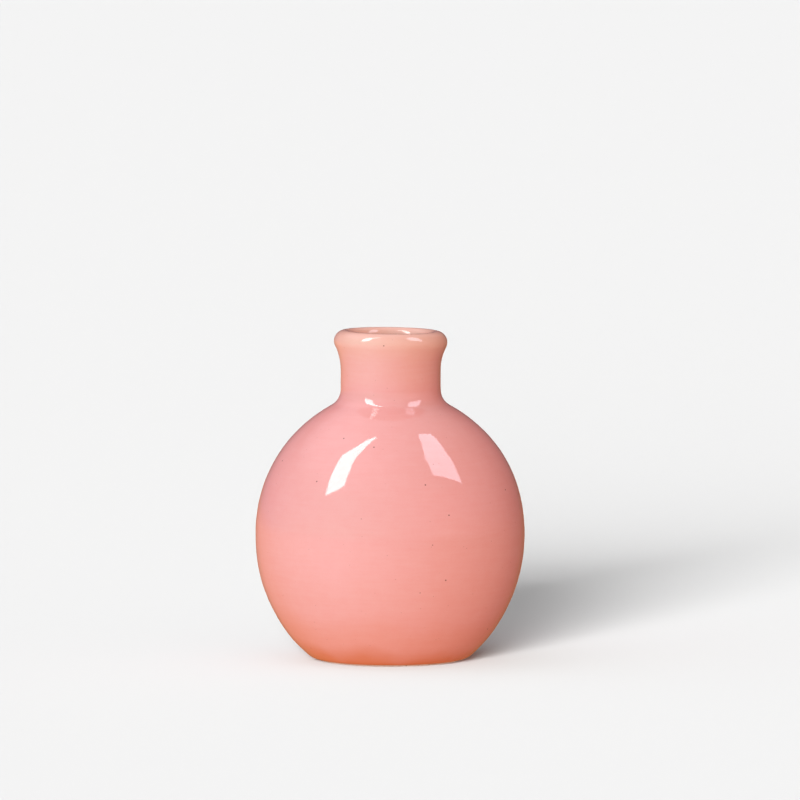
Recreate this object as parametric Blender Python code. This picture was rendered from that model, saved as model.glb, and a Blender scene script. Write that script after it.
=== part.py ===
"""Ceramic bud vase: a turned pot with a round belly, a short neck and a rolled lip.

The fired clay wall is one piece and stands on a bare foot ring. The glaze is three
more: a coat outside that rolls over the lip, a liner inside, and a patch under the
floor. All four are turned about +Z, with the origin under the middle of the foot.
"""

from math import atan2, cos, pi, sin, sqrt

import bmesh
import bpy
from mathutils import Vector

# Outside of the glazed vase, in metres
HEIGHT = 0.120
BELLY_RADIUS = 0.0488
BELLY_HEIGHT = 0.0465
FOOT_RADIUS = 0.0258
FOOT_CORNER_RADIUS = 0.0062
NECK_RADIUS = 0.0181
NECK_LENGTH = 0.0214
NECK_FILLET_RADIUS = 0.0067
LIP_OVERHANG = 0.0024
LIP_BEAD_RADIUS = 0.0040
LIP_FLARE_RADIUS = 0.0200

# Clay wall, floor and foot ring
WALL = 0.0030
FLOOR = 0.0048
FLOOR_CORNER_RADIUS = 0.0140
GLAZE_LIFT = 0.0005
RECESS_DEPTH = 0.0024
FOOT_RING_WIDTH = 0.0034
FOOT_EDGE_RADIUS = 0.0004

# Glaze coats
GLAZE = 0.0005
LIP_GLAZE_REACH = 0.0060

# Clearance between pieces that lie against each other
GAP = 0.0003

# Number of flats round the axis, and how close two points are before they are one
FLATS = 36
WELD = 0.000001

# The wall from its outer glaze to its liner glaze
COATED_WALL = GLAZE + GAP + WALL + GAP + GLAZE
BORE_RADIUS = NECK_RADIUS - COATED_WALL
NECK_BASE = HEIGHT - NECK_LENGTH
LIP_RADIUS = NECK_RADIUS + LIP_OVERHANG

# Each arc of the section keeps its centre through the whole wall, so the layers
# stay parallel. Centres are (radius, height) pairs.

# Foot corner: level at the foot ring, then up into the lower side
corner_centre = (FOOT_RADIUS, GLAZE_LIFT + FOOT_CORNER_RADIUS)
side_reach = FOOT_RADIUS - BELLY_RADIUS
side_rise = BELLY_HEIGHT - corner_centre[1]
side_radius = (side_reach**2 + side_rise**2 - FOOT_CORNER_RADIUS**2) / (
    -2 * (side_reach + FOOT_CORNER_RADIUS)
)
side_centre = (BELLY_RADIUS - side_radius, BELLY_HEIGHT)

# Shoulder: upright at the belly, then in to the fillet at the root of the neck
fillet_centre = (NECK_RADIUS + NECK_FILLET_RADIUS, NECK_BASE)
shoulder_reach = fillet_centre[0] - BELLY_RADIUS
shoulder_rise = NECK_BASE - BELLY_HEIGHT
shoulder_radius = (shoulder_reach**2 + shoulder_rise**2 - NECK_FILLET_RADIUS**2) / (
    2 * (NECK_FILLET_RADIUS - shoulder_reach)
)
shoulder_centre = (BELLY_RADIUS - shoulder_radius, BELLY_HEIGHT)

# Lip: a flare out of the neck into a round bead, and a smaller roll into the bore
bead_centre = (LIP_RADIUS - LIP_BEAD_RADIUS, HEIGHT - LIP_BEAD_RADIUS)
flare_out = NECK_RADIUS + LIP_FLARE_RADIUS
flare_drop = sqrt((LIP_FLARE_RADIUS + LIP_BEAD_RADIUS) ** 2 - (flare_out - bead_centre[0]) ** 2)
flare_centre = (flare_out, bead_centre[1] - flare_drop)
inner_lip_radius = bead_centre[0] - BORE_RADIUS
inner_lip_centre = (bead_centre[0], HEIGHT - inner_lip_radius)

# Floor: the bare clay under it, the liner on it, and the corner it rises from
clay_base = GLAZE_LIFT + GLAZE + GAP
clay_underside = RECESS_DEPTH
clay_floor = clay_underside + FLOOR
liner_floor = clay_floor + GAP + GLAZE
floor_corner_height = liner_floor + FLOOR_CORNER_RADIUS
floor_corner_reach = sqrt(
    (side_radius - COATED_WALL - FLOOR_CORNER_RADIUS) ** 2
    - (BELLY_HEIGHT - floor_corner_height) ** 2
)
floor_corner_centre = (side_centre[0] + floor_corner_reach, floor_corner_height)

# Foot ring
ring_outer = FOOT_RADIUS - GAP
ring_inner = ring_outer - FOOT_RING_WIDTH

# Glaze patch in the recess, hung one clearance below the floor
patch_top = clay_underside - GAP
patch_radius = ring_inner - GAP


def heading(start, end):
    """Angle of the line from one centre to another, in the section plane."""
    return atan2(end[1] - start[1], end[0] - start[0])


def arc(centre, radius, start, end, steps):
    """Points along an arc of the section, both ends included."""
    points = []
    for step in range(steps + 1):
        angle = start + (end - start) * step / steps
        points.append((centre[0] + radius * cos(angle), centre[1] + radius * sin(angle)))
    return points


def outside(depth):
    """Outer face of the wall, from the foot corner up to the crest of the lip."""
    corner_turn = heading(side_centre, corner_centre)
    shoulder_turn = heading(shoulder_centre, fillet_centre)
    flare_turn = heading(flare_centre, bead_centre)
    points = arc(corner_centre, FOOT_CORNER_RADIUS - depth, -pi / 2, corner_turn, steps=3)
    points += arc(side_centre, side_radius - depth, corner_turn, 0, steps=5)[1:]
    points += arc(shoulder_centre, shoulder_radius - depth, 0, shoulder_turn, steps=7)[1:]
    points += arc(fillet_centre, NECK_FILLET_RADIUS + depth, shoulder_turn - pi, -pi, steps=3)[1:]
    points += arc(flare_centre, LIP_FLARE_RADIUS + depth, pi, flare_turn, steps=2)
    points += arc(bead_centre, LIP_BEAD_RADIUS - depth, flare_turn - pi, pi / 2, steps=5)[1:]
    return points


def lip_inside(depth):
    """Inner roll of the lip, from just past its crest down to the bore."""
    return arc(inner_lip_centre, inner_lip_radius - depth, pi / 2, pi, steps=3)[1:]


def inside(depth):
    """Inner face of the wall, from the root of the neck down to the floor's edge."""
    outer_depth = COATED_WALL - depth
    shoulder_turn = heading(shoulder_centre, fillet_centre)
    floor_turn = heading(side_centre, floor_corner_centre)
    points = arc(fillet_centre, NECK_FILLET_RADIUS + outer_depth, pi, pi + shoulder_turn, steps=3)
    points += arc(shoulder_centre, shoulder_radius - outer_depth, shoulder_turn, 0, steps=6)[1:]
    points += arc(side_centre, side_radius - outer_depth, 0, floor_turn, steps=4)[1:]
    points += arc(floor_corner_centre, FLOOR_CORNER_RADIUS + depth, floor_turn, -pi / 2, steps=3)[1:]
    return points


def turn(name, section, colour, roughness, closed=True):
    """Spin a section about +Z; an open section has both its ends on the axis."""
    shape = bmesh.new()
    points = [shape.verts.new((radius, 0, height)) for radius, height in section]
    edges = [shape.edges.new(pair) for pair in zip(points, points[1:])]
    if closed:
        edges.append(shape.edges.new((points[-1], points[0])))
    bmesh.ops.spin(
        shape,
        geom=points + edges,
        cent=Vector((0, 0, 0)),
        axis=Vector((0, 0, 1)),
        angle=2 * pi,
        steps=FLATS,
        use_merge=True,
    )
    bmesh.ops.remove_doubles(shape, verts=shape.verts, dist=WELD)
    bmesh.ops.recalc_face_normals(shape, faces=shape.faces)
    mesh = bpy.data.meshes.new(name)
    shape.to_mesh(mesh)
    shape.free()
    mesh.shade_smooth()
    mesh.set_sharp_from_angle(angle=pi / 4)

    material = bpy.data.materials.new(name)
    material.use_nodes = True
    surface = material.node_tree.nodes["Principled BSDF"]
    surface.inputs["Base Color"].default_value = (*colour, 1)
    surface.inputs["Roughness"].default_value = roughness
    surface.inputs["Metallic"].default_value = 0
    mesh.materials.append(material)

    piece = bpy.data.objects.new(name, mesh)
    bpy.context.collection.objects.link(piece)
    return piece


def make_clay_body():
    """The whole clay wall, with its floor, foot ring and recess."""
    edge = FOOT_EDGE_RADIUS
    section = [(0, clay_underside), (ring_inner, clay_underside)]
    section += arc((ring_inner + edge, edge), edge, pi, 3 * pi / 2, steps=2)
    section += arc((ring_outer - edge, edge), edge, -pi / 2, 0, steps=2)
    section.append((ring_outer, clay_base))
    section += outside(GLAZE + GAP)
    section += lip_inside(GLAZE + GAP)
    section += inside(GLAZE + GAP)
    section.append((0, clay_floor))
    return turn("clay_body", section, (0.68, 0.49, 0.36), roughness=0.85, closed=False)


def make_outer_glaze():
    """Coat from the foot corner up the outside, over the lip and into the neck."""
    reach = HEIGHT - LIP_GLAZE_REACH
    section = outside(0) + lip_inside(0)
    section.append((BORE_RADIUS, reach))
    section.append((BORE_RADIUS + GLAZE, reach))
    section += reversed(lip_inside(GLAZE))
    section += reversed(outside(GLAZE))
    return turn("outer_glaze", section, (0.87, 0.40, 0.34), roughness=0.12)


def make_liner_glaze():
    """Liner from the end of the lip's coat down over the whole inside."""
    top = HEIGHT - LIP_GLAZE_REACH - GAP
    section = [(0, liner_floor - GLAZE)]
    section += reversed(inside(GLAZE))
    section.append((BORE_RADIUS + GLAZE, top))
    section.append((BORE_RADIUS, top))
    section += inside(0)
    section.append((0, liner_floor))
    return turn("liner_glaze", section, (0.80, 0.36, 0.30), roughness=0.15, closed=False)


def make_base_glaze():
    """Round patch of glaze on the underside, inside the foot ring."""
    section = [
        (0, patch_top - GLAZE),
        (patch_radius, patch_top - GLAZE),
        (patch_radius, patch_top),
        (0, patch_top),
    ]
    return turn("base_glaze", section, (0.84, 0.38, 0.32), roughness=0.15, closed=False)


for old in list(bpy.data.objects):
    bpy.data.objects.remove(old)

make_clay_body()
make_outer_glaze()
make_liner_glaze()
make_base_glaze()
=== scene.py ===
from math import atan2, ceil, cos, pi, radians, sin, sqrt

import bmesh
import bpy
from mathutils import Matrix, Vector


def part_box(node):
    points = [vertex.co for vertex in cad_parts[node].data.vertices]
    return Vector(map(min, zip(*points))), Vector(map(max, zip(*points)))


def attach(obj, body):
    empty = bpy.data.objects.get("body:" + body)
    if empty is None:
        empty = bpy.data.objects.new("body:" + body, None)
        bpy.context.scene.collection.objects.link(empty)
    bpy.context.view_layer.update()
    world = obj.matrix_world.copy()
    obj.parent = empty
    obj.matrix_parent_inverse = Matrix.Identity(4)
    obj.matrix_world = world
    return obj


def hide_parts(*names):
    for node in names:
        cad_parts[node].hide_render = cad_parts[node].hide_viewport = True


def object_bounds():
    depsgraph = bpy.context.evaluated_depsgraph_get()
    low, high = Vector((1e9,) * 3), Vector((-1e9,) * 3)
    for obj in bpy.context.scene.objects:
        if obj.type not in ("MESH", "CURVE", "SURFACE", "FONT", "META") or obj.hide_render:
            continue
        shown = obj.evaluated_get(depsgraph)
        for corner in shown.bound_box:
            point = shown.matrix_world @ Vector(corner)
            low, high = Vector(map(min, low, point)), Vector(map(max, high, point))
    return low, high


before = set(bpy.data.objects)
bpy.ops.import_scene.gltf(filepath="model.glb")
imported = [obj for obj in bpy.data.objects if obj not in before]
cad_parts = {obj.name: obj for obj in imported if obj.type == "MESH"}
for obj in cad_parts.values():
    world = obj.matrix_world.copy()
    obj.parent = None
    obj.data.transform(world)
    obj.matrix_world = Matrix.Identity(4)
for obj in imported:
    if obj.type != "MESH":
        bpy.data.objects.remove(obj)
cad_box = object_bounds()


# ---------------------------------------------------------------------------
# Clay body
# The pot itself: buff stoneware thrown on the wheel and fired, with a bare
# turned foot ring that stands on the table. Every coat of glaze follows its wall.
# ---------------------------------------------------------------------------
glaze_low, glaze_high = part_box("outer_glaze")
HEIGHT = glaze_high.z
BELLY_RADIUS = glaze_high.x
GLAZE_LIFT = glaze_low.z
BELLY_HEIGHT = 0.0465
FOOT_RADIUS = 0.0258
FOOT_CORNER_RADIUS = 0.0062
NECK_RADIUS = 0.0181
NECK_LENGTH = 0.0214
NECK_FILLET_RADIUS = 0.0067
LIP_OVERHANG = 0.0024
LIP_BEAD_RADIUS = 0.0040
LIP_FLARE_RADIUS = 0.0200
WALL = 0.0046
COAT = 0.0008
FLOOR_TOP = 0.0080
FLOOR_CORNER_RADIUS = 0.0140
RECESS_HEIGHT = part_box("base_glaze")[1].z + 0.0003
RING_OUTER = FOOT_RADIUS - 0.0003
RING_INNER = RING_OUTER - 0.0034
RING_EDGE = 0.0004
POINT_SPACING = 0.0009
OVAL = 0.00012
THROWING_RING = 0.000014
THROWING_RING_PITCH = 0.0074
DRIFT = 0.00005
DRIFT_PITCH = 0.041
LOW_BELLY_FULLER = 0.00038
LOW_BELLY_ASIDE = 0.00016
SHOULDER_FULLER = 0.00022
NECK_ASIDE = 0.00022
LIP_LEAN = 0.014

corner_centre = (FOOT_RADIUS, GLAZE_LIFT + FOOT_CORNER_RADIUS)
side_reach = FOOT_RADIUS - BELLY_RADIUS
side_rise = BELLY_HEIGHT - corner_centre[1]
side_radius = (side_reach**2 + side_rise**2 - FOOT_CORNER_RADIUS**2) / (
    -2 * (side_reach + FOOT_CORNER_RADIUS)
)
side_centre = (BELLY_RADIUS - side_radius, BELLY_HEIGHT)
fillet_centre = (NECK_RADIUS + NECK_FILLET_RADIUS, HEIGHT - NECK_LENGTH)
shoulder_reach = fillet_centre[0] - BELLY_RADIUS
shoulder_rise = fillet_centre[1] - BELLY_HEIGHT
shoulder_radius = (shoulder_reach**2 + shoulder_rise**2 - NECK_FILLET_RADIUS**2) / (
    2 * (NECK_FILLET_RADIUS - shoulder_reach)
)
shoulder_centre = (BELLY_RADIUS - shoulder_radius, BELLY_HEIGHT)
bead_centre = (NECK_RADIUS + LIP_OVERHANG - LIP_BEAD_RADIUS, HEIGHT - LIP_BEAD_RADIUS)
flare_out = NECK_RADIUS + LIP_FLARE_RADIUS
flare_drop = sqrt((LIP_FLARE_RADIUS + LIP_BEAD_RADIUS) ** 2 - (flare_out - bead_centre[0]) ** 2)
flare_centre = (flare_out, bead_centre[1] - flare_drop)
bore_radius = NECK_RADIUS - WALL
roll_radius = bead_centre[0] - bore_radius
roll_centre = (bead_centre[0], HEIGHT - roll_radius)
floor_corner_height = FLOOR_TOP + FLOOR_CORNER_RADIUS
floor_corner_reach = sqrt(
    (side_radius - WALL - FLOOR_CORNER_RADIUS) ** 2 - (BELLY_HEIGHT - floor_corner_height) ** 2
)
floor_corner_centre = (side_centre[0] + floor_corner_reach, floor_corner_height)


def heading(start, end):
    """Angle of the line between two centres of the section."""
    return atan2(end[1] - start[1], end[0] - start[0])


def arc(centre, radius, start, end, spacing=POINT_SPACING):
    """Closely spaced points along an arc of the section, both ends included."""
    steps = max(4, ceil(abs(end - start) * radius / spacing))
    points = []
    for step in range(steps + 1):
        angle = start + (end - start) * step / steps
        points.append((centre[0] + radius * cos(angle), centre[1] + radius * sin(angle)))
    return points


def straight(start, end, spacing=POINT_SPACING):
    """Closely spaced points between two points, without the two ends."""
    run = sqrt((end[0] - start[0]) ** 2 + (end[1] - start[1]) ** 2)
    steps = max(2, ceil(run / spacing))
    points = []
    for step in range(1, steps):
        share = step / steps
        points.append(
            (start[0] + (end[0] - start[0]) * share, start[1] + (end[1] - start[1]) * share)
        )
    return points


def outer_face(depth, spacing=POINT_SPACING):
    """Outside of the wall at a depth under the glaze, from foot corner to lip crest."""
    corner_turn = heading(side_centre, corner_centre)
    shoulder_turn = heading(shoulder_centre, fillet_centre)
    flare_turn = heading(flare_centre, bead_centre)
    corner = arc(corner_centre, FOOT_CORNER_RADIUS - depth, -pi / 2, corner_turn, spacing)
    side = arc(side_centre, side_radius - depth, corner_turn, 0, spacing)
    shoulder = arc(shoulder_centre, shoulder_radius - depth, 0, shoulder_turn, spacing)
    fillet = arc(fillet_centre, NECK_FILLET_RADIUS + depth, shoulder_turn - pi, -pi, spacing)
    flare = arc(flare_centre, LIP_FLARE_RADIUS + depth, pi, flare_turn, spacing)
    bead = arc(bead_centre, LIP_BEAD_RADIUS - depth, flare_turn - pi, pi / 2, spacing / 2)
    neck = straight(fillet[-1], flare[0], spacing)
    return corner + side[1:] + shoulder[1:] + fillet[1:] + neck + flare + bead[1:]


def lip_roll(depth, spacing=POINT_SPACING):
    """Roll of the lip from its crest into the bore, at a depth under the glaze."""
    return arc(roll_centre, roll_radius - depth, pi / 2, pi, spacing / 2)[1:]


def inner_face(depth, top, spacing=POINT_SPACING):
    """Inside of the wall at a depth behind the liner, from a height in the neck down."""
    from_outside = WALL - depth
    shoulder_turn = heading(shoulder_centre, fillet_centre)
    floor_turn = heading(side_centre, floor_corner_centre)
    fillet = arc(fillet_centre, NECK_FILLET_RADIUS + from_outside, pi, pi + shoulder_turn, spacing)
    shoulder = arc(shoulder_centre, shoulder_radius - from_outside, shoulder_turn, 0, spacing)
    side = arc(side_centre, side_radius - from_outside, 0, floor_turn, spacing)
    corner = arc(floor_corner_centre, FLOOR_CORNER_RADIUS + depth, floor_turn, -pi / 2, spacing)
    neck = straight((bore_radius + depth, top), fillet[0], spacing)
    floor = straight(corner[-1], (0, FLOOR_TOP - depth), spacing)
    return neck + fillet + shoulder[1:] + side[1:] + corner[1:] + floor


def ease(value, low, high):
    """Smooth rise from 0 at low to 1 at high."""
    share = min(max((value - low) / (high - low), 0), 1)
    return share * share * (3 - 2 * share)


def as_thrown(radius, turn, height):
    """Where the hand and the wheel left a point that was meant to be at radius, turn, height."""
    wall = ease(height, 0.002, 0.012)
    low_belly = ease(height, 0.001, 0.008) * (1 - ease(height, 0.026, 0.046))
    shoulder = ease(height, 0.050, 0.068) * (1 - ease(height, 0.074, 0.092))
    oval = OVAL * cos(2 * turn + 0.7) * wall
    rings = THROWING_RING * sin(2 * pi * height / THROWING_RING_PITCH + turn) * wall
    drift = DRIFT * sin(2 * pi * height / DRIFT_PITCH + 2 * turn + 1.1) * wall
    fuller = LOW_BELLY_FULLER * low_belly + SHOULDER_FULLER * shoulder
    aside = NECK_ASIDE * ease(height, 0.050, 0.076) - LOW_BELLY_ASIDE * low_belly
    lean = LIP_LEAN * ease(height, 0.096, 0.118)
    out = radius + oval + rings + drift + fuller
    across = out * cos(turn)
    return Vector((across + aside, out * sin(turn), height - across * lean))


def turn_piece(name, section, flats, closed):
    """Turn a section about the axis as a solid; an open one has both ends on the axis."""
    shape = bmesh.new()
    rings = []
    for radius, height in section:
        if radius < POINT_SPACING / 10:
            rings.append([shape.verts.new(as_thrown(0, 0, height))])
            continue
        ring = []
        for flat in range(flats):
            ring.append(shape.verts.new(as_thrown(radius, 2 * pi * flat / flats, height)))
        rings.append(ring)
    if closed:
        rings.append(rings[0])
    for first, second in zip(rings, rings[1:]):
        for flat in range(flats):
            after = (flat + 1) % flats
            corners = [first[flat % len(first)], first[after % len(first)]]
            corners += [second[after % len(second)], second[flat % len(second)]]
            shape.faces.new(list(dict.fromkeys(corners)))
    bmesh.ops.recalc_face_normals(shape, faces=shape.faces)
    mesh = bpy.data.meshes.new(name)
    shape.to_mesh(mesh)
    shape.free()
    mesh.shade_smooth()
    piece = bpy.data.objects.new(name, mesh)
    bpy.context.scene.collection.objects.link(piece)
    return piece


def new_finish(name):
    """A material with only a Principled shader in it, and that shader."""
    finish = bpy.data.materials.new(name)
    finish.use_nodes = True
    return finish, finish.node_tree.nodes["Principled BSDF"]


def node(finish, kind, inputs=None, **settings):
    """Add a node; inputs holds a value, or the socket that feeds it, for each socket."""
    made = finish.node_tree.nodes.new(kind)
    for name, value in settings.items():
        setattr(made, name, value)
    for socket, value in (inputs or {}).items():
        if isinstance(value, bpy.types.NodeSocket):
            finish.node_tree.links.new(value, made.inputs[socket])
        else:
            made.inputs[socket].default_value = value
    return made


def noise(finish, place, size, detail=2.0):
    """Cloudy noise from 0 to 1 whose patches are about size metres across."""
    inputs = {"Vector": place, "Scale": 1 / size, "Detail": detail}
    return node(finish, "ShaderNodeTexNoise", inputs).outputs["Fac"]


def spread(finish, value, low, high, start=0.0, end=1.0):
    """Map a value from the range low to high onto start to end."""
    inputs = {"Value": value, "From Min": low, "From Max": high, "To Min": start, "To Max": end}
    return node(finish, "ShaderNodeMapRange", inputs).outputs["Result"]


def blend(finish, share, first, second, kind="MIX"):
    """Mix two colours; each of the three may be a value or a socket."""
    inputs = {0: share, 6: first, 7: second}
    return node(finish, "ShaderNodeMix", inputs, data_type="RGBA", blend_type=kind).outputs[2]


def bare_clay_finish():
    """Fired buff stoneware: sandy, with rust-coloured grog and fine turning lines."""
    finish, surface = new_finish("bare_clay")
    place = node(finish, "ShaderNodeTexCoord").outputs["Object"]
    cloud = noise(finish, place, 0.009, 4.0)
    sand = noise(finish, place, 0.0006, 3.0)
    clouded = spread(finish, cloud, 0.35, 0.65)
    buff = blend(finish, clouded, (0.52, 0.36, 0.25, 1), (0.66, 0.49, 0.36, 1))
    grainy = spread(finish, sand, 0.3, 0.7, 0.0, 0.35)
    sandy = blend(finish, grainy, buff, (0.78, 0.64, 0.50, 1))
    grog = node(finish, "ShaderNodeTexVoronoi", {"Vector": place, "Scale": 1 / 0.0016}).outputs
    rust = spread(finish, grog["Distance"], 0.12, 0.20, 0.8, 0.0)
    speckled = blend(finish, rust, sandy, (0.26, 0.12, 0.06, 1))
    lines = node(
        finish,
        "ShaderNodeTexWave",
        {"Vector": place, "Scale": 1 / 0.004, "Distortion": 0.6, "Detail": 1.0},
        wave_type="RINGS",
        rings_direction="Z",
    ).outputs["Fac"]
    relief = node(finish, "ShaderNodeMath", {0: sand, 1: lines}, operation="ADD").outputs["Value"]
    bump = node(finish, "ShaderNodeBump", {"Strength": 0.6, "Distance": 0.00008, "Height": relief})
    rough = spread(finish, sand, 0.3, 0.7, 0.78, 0.95)
    finish.node_tree.links.new(speckled, surface.inputs["Base Color"])
    finish.node_tree.links.new(rough, surface.inputs["Roughness"])
    finish.node_tree.links.new(bump.outputs["Normal"], surface.inputs["Normal"])
    return finish


ring_base = GLAZE_LIFT + COAT
clay_section = [(0, RECESS_HEIGHT)]
clay_section += straight((0, RECESS_HEIGHT), (RING_INNER - RING_EDGE, RECESS_HEIGHT))
clay_section += arc(
    (RING_INNER - RING_EDGE, RECESS_HEIGHT - RING_EDGE), RING_EDGE, pi / 2, 0, RING_EDGE / 4
)
clay_section += arc((RING_INNER + RING_EDGE, RING_EDGE), RING_EDGE, pi, 3 * pi / 2, RING_EDGE / 4)
clay_section += straight((RING_INNER + RING_EDGE, 0), (RING_OUTER - RING_EDGE, 0), RING_EDGE)
clay_section += arc((RING_OUTER - RING_EDGE, RING_EDGE), RING_EDGE, -pi / 2, 0, RING_EDGE / 4)
clay_section += [(RING_OUTER, ring_base)]
clay_section += outer_face(COAT, POINT_SPACING * 2)
clay_section += lip_roll(COAT)
clay_section += inner_face(COAT, roll_centre[1], POINT_SPACING * 2)
clay_section += [(0, FLOOR_TOP - COAT)]
clay = turn_piece("clay_body_fired", clay_section, 160, closed=False)
clay.data.materials.append(bare_clay_finish())
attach(clay, "root")
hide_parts("clay_body")


# ---------------------------------------------------------------------------
# Outer glaze
# Glossy salmon glaze, dipped: thin and pale over the lip, pink on the shoulder and
# belly, and pooled to a deeper orange at the foot, where it ends in a rounded bead.
# The darkest band at the foot also holds painted shade, where the foot meets the table.
# ---------------------------------------------------------------------------
GLAZE_SUNK = COAT + 0.00005
LIP_REACH = 0.0060
END_ROLL = COAT / 2

# Glaze pooled at the foot, made darker still with painted shade where it meets the table
FOOT_POOL_AND_SHADE = (0.72, 0.20, 0.085, 1)
LOW_SALMON = (0.83, 0.33, 0.255, 1)
SALMON = (0.86, 0.385, 0.34, 1)
PEACH = (0.87, 0.40, 0.37, 1)
ROSE = (0.857, 0.387, 0.375, 1)
NECK_SALMON = (0.845, 0.42, 0.375, 1)
PALE_LIP = (0.86, 0.485, 0.40, 1)
SPECK_BROWN = (0.16, 0.05, 0.035, 1)
SPECK_SPACING = 0.0072
SPECKS_MOVED = (0.0031, 0.0017, 0.0042)
DUST_SPACING = 0.0034


def glaze_finish(name, bands, deepen):
    """Glossy glaze over clay: bands gives its colour at each share of the height."""
    finish, surface = new_finish(name)
    place = node(finish, "ShaderNodeTexCoord").outputs["Object"]
    cloud = noise(finish, place, 0.030, 3.0)
    mottle = noise(finish, place, 0.0045, 4.0)
    grain = noise(finish, place, 0.0007, 2.0)

    # The coat runs as it melts, so its bands wander up and down by a few millimetres
    height = node(finish, "ShaderNodeSeparateXYZ", {"Vector": place}).outputs["Z"]
    wander = spread(finish, cloud, 0.3, 0.7, -0.003, 0.003)
    run = node(finish, "ShaderNodeMath", {0: height, 1: wander}, operation="ADD").outputs["Value"]
    ramp = node(finish, "ShaderNodeValToRGB", {"Fac": spread(finish, run, 0, HEIGHT)})
    ramp.color_ramp.interpolation = "EASE"
    stops = ramp.color_ramp.elements
    while len(stops) < len(bands):
        stops.new(0.5)
    for stop, (level, colour) in zip(stops, bands):
        stop.position = level
        stop.color = colour
    tone = ramp.outputs["Color"]

    # Thicker and thinner patches, and the fine crystal grain in the glass
    thick = spread(finish, mottle, 0.35, 0.65, 0.0, 0.10)
    tone = blend(finish, thick, tone, deepen, "MULTIPLY")
    fine = spread(finish, grain, 0.3, 0.7, 0.0, 0.07)
    tone = blend(finish, fine, tone, (1.0, 0.66, 0.60, 1), "MULTIPLY")

    # Streaks that the turning wheel drew out in the wet glaze, long around and thin upward
    drawn_out = node(finish, "ShaderNodeMapping", {"Vector": place, "Scale": (0.09, 0.09, 1.0)})
    streak = noise(finish, drawn_out.outputs["Vector"], 0.0011, 3.0)
    tone = blend(finish, spread(finish, streak, 0.35, 0.65, 0.0, 0.10), tone, deepen, "MULTIPLY")

    # Pinholes and iron specks, a few to the hand's breadth, and finer ones between them
    moved = node(finish, "ShaderNodeMapping", {"Vector": place, "Location": SPECKS_MOVED})
    scatter = {"Vector": moved.outputs["Vector"], "Scale": 1 / SPECK_SPACING}
    specks = node(finish, "ShaderNodeTexVoronoi", scatter).outputs
    speck = spread(finish, specks["Distance"], 0.024, 0.050, 0.85, 0.0)
    tone = blend(finish, speck, tone, SPECK_BROWN)
    scatter = {"Vector": place, "Scale": 1 / DUST_SPACING}
    dust = node(finish, "ShaderNodeTexVoronoi", scatter).outputs
    tone = blend(finish, spread(finish, dust["Distance"], 0.03, 0.06, 0.32, 0.0), tone, SPECK_BROWN)

    # Faint orange peel in the melt, with a dimple at each pinhole
    peel = noise(finish, place, 0.006, 1.0)
    dimple = node(finish, "ShaderNodeMath", {0: peel, 1: speck}, operation="SUBTRACT")
    relief = {"Strength": 0.5, "Distance": 0.00002, "Height": dimple.outputs["Value"]}
    bump = node(finish, "ShaderNodeBump", relief)

    finish.node_tree.links.new(tone, surface.inputs["Base Color"])
    gloss = spread(finish, mottle, 0.3, 0.7, 0.035, 0.075)
    finish.node_tree.links.new(gloss, surface.inputs["Roughness"])
    finish.node_tree.links.new(bump.outputs["Normal"], surface.inputs["Normal"])
    surface.inputs["IOR"].default_value = 1.52
    return finish


coat_section = arc(
    (FOOT_RADIUS - END_ROLL + COAT / 2, GLAZE_LIFT + END_ROLL), END_ROLL, pi, 3 * pi / 2, END_ROLL / 4
)
coat_section += outer_face(0)[1:]
coat_section += lip_roll(0)
coat_section += straight((bore_radius, roll_centre[1]), (bore_radius, HEIGHT - LIP_REACH))
coat_section += arc(
    (bore_radius + END_ROLL, HEIGHT - LIP_REACH), END_ROLL, pi, 2 * pi, END_ROLL / 4
)
coat_section += reversed(lip_roll(GLAZE_SUNK))
coat_section += reversed(outer_face(GLAZE_SUNK, POINT_SPACING * 4))
coat = turn_piece("glaze_outside", coat_section, 240, closed=True)
coat.data.materials.append(
    glaze_finish(
        "outer_glaze",
        (
            # The foot's band: pooled glaze together with painted shade near the table
            (0.00, FOOT_POOL_AND_SHADE),
            (0.075, LOW_SALMON),
            (0.20, SALMON),
            (0.34, PEACH),
            (0.52, ROSE),
            (0.78, ROSE),
            (0.90, NECK_SALMON),
            (0.97, PALE_LIP),
        ),
        deepen=(0.96, 0.72, 0.66, 1),
    )
)
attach(coat, "root")
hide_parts("outer_glaze")


# ---------------------------------------------------------------------------
# Liner glaze
# The coat that makes the vase hold water: poured in, swirled and drained, so it is
# even on the walls and deeper in colour where it gathered on the floor.
# ---------------------------------------------------------------------------
LINER_DEEP = (0.66, 0.20, 0.12, 1)
LINER_ROSE = (0.84, 0.40, 0.36, 1)
LINER_UNDER = 0.0012

liner_top = HEIGHT - LIP_REACH + LINER_UNDER
liner_section = [(0, FLOOR_TOP)]
liner_section += reversed(inner_face(0, liner_top))
liner_section += arc((bore_radius + END_ROLL, liner_top), END_ROLL, pi, 0, END_ROLL / 4)
liner_section += inner_face(GLAZE_SUNK, liner_top, POINT_SPACING * 4)
liner_section += [(0, FLOOR_TOP - GLAZE_SUNK)]
liner = turn_piece("glaze_inside", liner_section, 160, closed=False)
liner.data.materials.append(
    glaze_finish(
        "liner_glaze",
        ((0.05, LINER_DEEP), (0.30, LINER_ROSE), (1.00, PALE_LIP)),
        deepen=(0.96, 0.70, 0.64, 1),
    )
)
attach(liner, "root")
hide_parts("liner_glaze")


# ---------------------------------------------------------------------------
# Base glaze
# A brushed patch of the same glaze in the recess under the floor, wiped clear of
# the foot ring so that the pot doesn't stick to the kiln shelf.
# ---------------------------------------------------------------------------
PATCH_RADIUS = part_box("base_glaze")[1].x - 0.0012
PATCH_THICK = 0.0005
PATCH_SUNK = 0.0001

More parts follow.
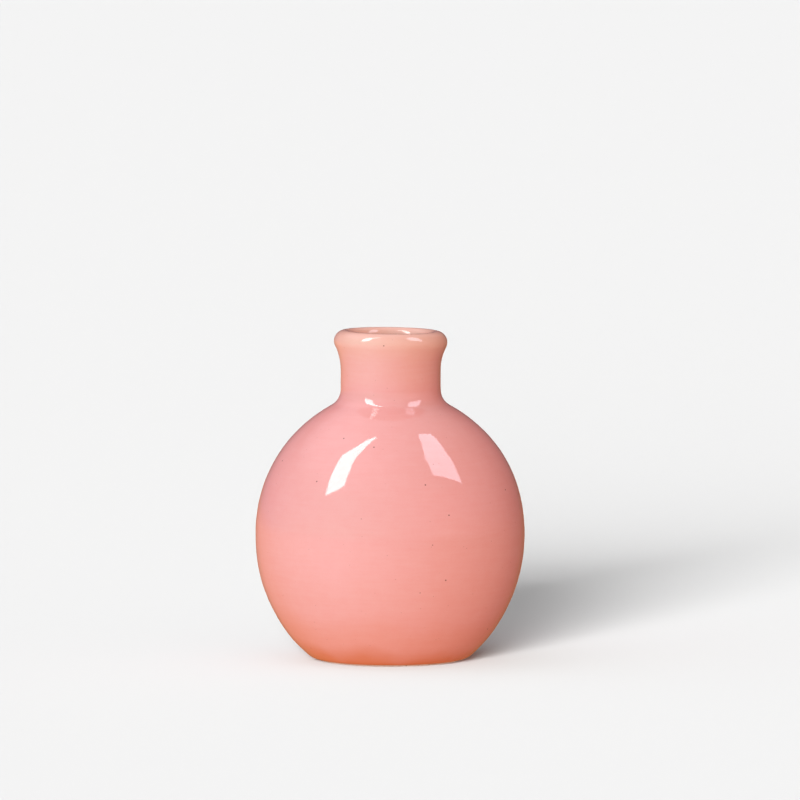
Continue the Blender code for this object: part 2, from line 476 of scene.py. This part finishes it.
patch_section = [(0, RECESS_HEIGHT + PATCH_SUNK), (PATCH_RADIUS, RECESS_HEIGHT + PATCH_SUNK)]
patch_section += arc(
    (PATCH_RADIUS - PATCH_THICK, RECESS_HEIGHT), PATCH_THICK, 0, -pi / 2, PATCH_THICK / 6
)
patch_section += straight(patch_section[-1], (0, RECESS_HEIGHT - PATCH_THICK))
patch_section += [(0, RECESS_HEIGHT - PATCH_THICK)]
patch = turn_piece("glaze_under_foot", patch_section, 120, closed=False)
patch.data.materials.append(
    glaze_finish(
        "base_glaze",
        ((0.00, LOW_SALMON), (1.00, SALMON)),
        deepen=(0.94, 0.66, 0.58, 1),
    )
)
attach(patch, "root")
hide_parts("base_glaze")


# ---------------------------------------------------------------------------
# Table
# A plain pale table top under the vase, kept out of the glaze's reflections. A low, wide
# light rakes over the table alone and draws the vase's soft shadow back to the right.
# ---------------------------------------------------------------------------
TABLE_RADIUS = 14.0
TABLE_PALE = (0.34, 0.36, 0.358, 1)
TABLE_GAP = 0.00005
RAKE_AZIMUTH = radians(-11.5)
RAKE_ELEVATION = radians(8)
RAKE_WIDTH = radians(24)
RAKE_STRENGTH = 37.8
RAKE_COLOUR = (1.0, 0.948, 0.953)

table_shape = bmesh.new()
bmesh.ops.create_circle(table_shape, cap_ends=True, segments=96, radius=TABLE_RADIUS)
table_mesh = bpy.data.meshes.new("table")
table_shape.to_mesh(table_mesh)
table_shape.free()
table = bpy.data.objects.new("table", table_mesh)
bpy.context.scene.collection.objects.link(table)
table_finish, table_surface = new_finish("table")
table_surface.inputs["Base Color"].default_value = TABLE_PALE
table_surface.inputs["Roughness"].default_value = 0.9
table_surface.inputs["Specular IOR Level"].default_value = 0.0
table.data.materials.append(table_finish)
# A hair under the foot ring, so that the two flat faces never share a plane
table.location.z = -TABLE_GAP
table.visible_diffuse = False
table.visible_glossy = False
table.visible_shadow = False


def toward(azimuth, elevation):
    """Direction from the vase to a light; azimuth is to the right of the viewer's side."""
    flat = cos(elevation)
    return Vector((flat * sin(azimuth), -flat * cos(azimuth), sin(elevation)))


rake_light = bpy.data.lights.new("rake_light", "SUN")
rake_light.energy = RAKE_STRENGTH
rake_light.color = RAKE_COLOUR
rake_light.angle = RAKE_WIDTH
rake = bpy.data.objects.new("rake_light", rake_light)
rake.rotation_euler = toward(RAKE_AZIMUTH, RAKE_ELEVATION).to_track_quat("Z", "Y").to_euler()
bpy.context.scene.collection.objects.link(rake)
raked = bpy.data.collections.new("raked")
raked.objects.link(table)
rake.light_linking.receiver_collection = raked


# ---------------------------------------------------------------------------
# Studio
# Soft daylight from bright walls on the viewer's side, brighter to the left, and dark
# warm walls behind. Two long softboxes overhead put the highlights on the glaze.
# ---------------------------------------------------------------------------
SOFTBOX_DISTANCE = 4.0
KEY_AZIMUTH = radians(-62.8)
KEY_ELEVATION = radians(49.7)
KEY_OUTLINE = (
    (0.03, -0.46),
    (0.15, 0.12),
    (0.045, 0.58),
    (0.015, 0.58),
    (0.0, 0.40),
    (-0.045, 0.20),
    (-0.20, -0.22),
)
KEY_RADIANCE = 13.0
KEY_COLOUR = (1.0, 1.0, 1.0, 1)
FILL_AZIMUTH = radians(76.6)
FILL_ELEVATION = radians(55.5)
FILL_OUTLINE = (
    (-0.13, 0.34),
    (-0.26, 0.22),
    (-0.12, -0.10),
    (0.0, -0.45),
    (0.31, -0.12),
    (0.20, 0.09),
)
FILL_RADIANCE = 5.6
FILL_COLOUR = (1.0, 0.98, 1.12, 1)
FRONT_LEFT = (0.85, 1.49, 1.41, 1)
FRONT_RIGHT = (1.34, 0.91, 0.82, 1)
BACK_LEFT = (0.38, 0.21, 0.22, 1)
BACK_RIGHT = (0.02, 0.01, 0.01, 1)
CEILING_LEFT = (2.28, 1.85, 2.06, 1)
CEILING_RIGHT = (0.18, 0.35, 0.24, 1)
LOW_FRONT_LEFT = (1.51, 1.41, 1.58, 1)
LOW_FRONT_RIGHT = (0.76, 0.42, 0.25, 1)
LOW_BACK_LEFT = (0.82, 0.32, 0.12, 1)
LOW_BACK_RIGHT = (0.02, 0.01, 0.01, 1)
BACKDROP = (0.905, 0.905, 0.905, 1)
vase_middle = (cad_box[0] + cad_box[1]) / 2


def softbox(name, azimuth, elevation, outline, colour, radiance):
    """A glowing panel that faces the vase; its outline is for a panel one metre away."""
    outward = toward(azimuth, elevation)
    across = outward.cross(Vector((0, 0, 1))).normalized()
    upward = across.cross(outward)
    panel = bmesh.new()
    corners = []
    for right, rise in outline:
        offset = outward + across * right + upward * rise
        corners.append(panel.verts.new(vase_middle + offset * SOFTBOX_DISTANCE))
    panel.faces.new(corners)
    mesh = bpy.data.meshes.new(name)
    panel.to_mesh(mesh)
    panel.free()
    glow = bpy.data.materials.new(name)
    glow.use_nodes = True
    glow.node_tree.nodes.remove(glow.node_tree.nodes["Principled BSDF"])
    shine = node(glow, "ShaderNodeEmission", {"Color": colour, "Strength": radiance})
    output = glow.node_tree.nodes["Material Output"]
    glow.node_tree.links.new(shine.outputs["Emission"], output.inputs["Surface"])
    mesh.materials.append(glow)
    box = bpy.data.objects.new(name, mesh)
    bpy.context.scene.collection.objects.link(box)
    box.visible_camera = False
    box.visible_diffuse = False
    box.visible_shadow = False


softbox("key_softbox", KEY_AZIMUTH, KEY_ELEVATION, KEY_OUTLINE, KEY_COLOUR, KEY_RADIANCE)
softbox("fill_softbox", FILL_AZIMUTH, FILL_ELEVATION, FILL_OUTLINE, FILL_COLOUR, FILL_RADIANCE)

studio = bpy.data.worlds.new("studio")
bpy.context.scene.world = studio
studio.use_nodes = True
outlook = node(studio, "ShaderNodeTexCoord").outputs["Generated"]
facing = node(studio, "ShaderNodeSeparateXYZ", {"Vector": outlook}).outputs
to_right = spread(studio, facing["X"], -0.7, 0.7)
to_back = spread(studio, facing["Y"], -0.6, 0.6)
front = blend(studio, to_right, FRONT_LEFT, FRONT_RIGHT)
back = blend(studio, to_right, BACK_LEFT, BACK_RIGHT)
walls = blend(studio, to_back, front, back)
ceiling = blend(studio, to_right, CEILING_LEFT, CEILING_RIGHT)
room = blend(studio, spread(studio, facing["Z"], 0.45, 0.90), walls, ceiling)
low_front = blend(studio, to_right, LOW_FRONT_LEFT, LOW_FRONT_RIGHT)
low_back = blend(studio, to_right, LOW_BACK_LEFT, LOW_BACK_RIGHT)
low = blend(studio, to_back, low_front, low_back)
room = blend(studio, spread(studio, facing["Z"], -0.06, 0.02), low, room)
seen = node(studio, "ShaderNodeLightPath").outputs["Is Camera Ray"]
sky = blend(studio, seen, room, BACKDROP)
studio.node_tree.links.new(sky, studio.node_tree.nodes["Background"].inputs["Color"])


# ---------------------------------------------------------------------------
# Camera
# A long lens a few degrees above the table, aimed over the vase's shoulder to
# leave room above it for the flowers.
# ---------------------------------------------------------------------------
CAMERA_DISTANCE = 4.0
CAMERA_ELEVATION = radians(5.25)
CAMERA_AIM = Vector((0.0036, 0.0032, 0.0344))
LENS = 495

lens = bpy.data.cameras.new("camera")
lens.lens = LENS
lens.sensor_width = 36
lens.clip_end = 50
camera = bpy.data.objects.new("camera", lens)
camera.location = vase_middle + CAMERA_DISTANCE * Vector(
    (0, -cos(CAMERA_ELEVATION), sin(CAMERA_ELEVATION))
)
line_of_sight = vase_middle + CAMERA_AIM - camera.location
camera.rotation_euler = line_of_sight.to_track_quat("-Z", "Y").to_euler()
bpy.context.scene.collection.objects.link(camera)
bpy.context.scene.camera = camera
bpy.context.scene.view_settings.view_transform = "Standard"
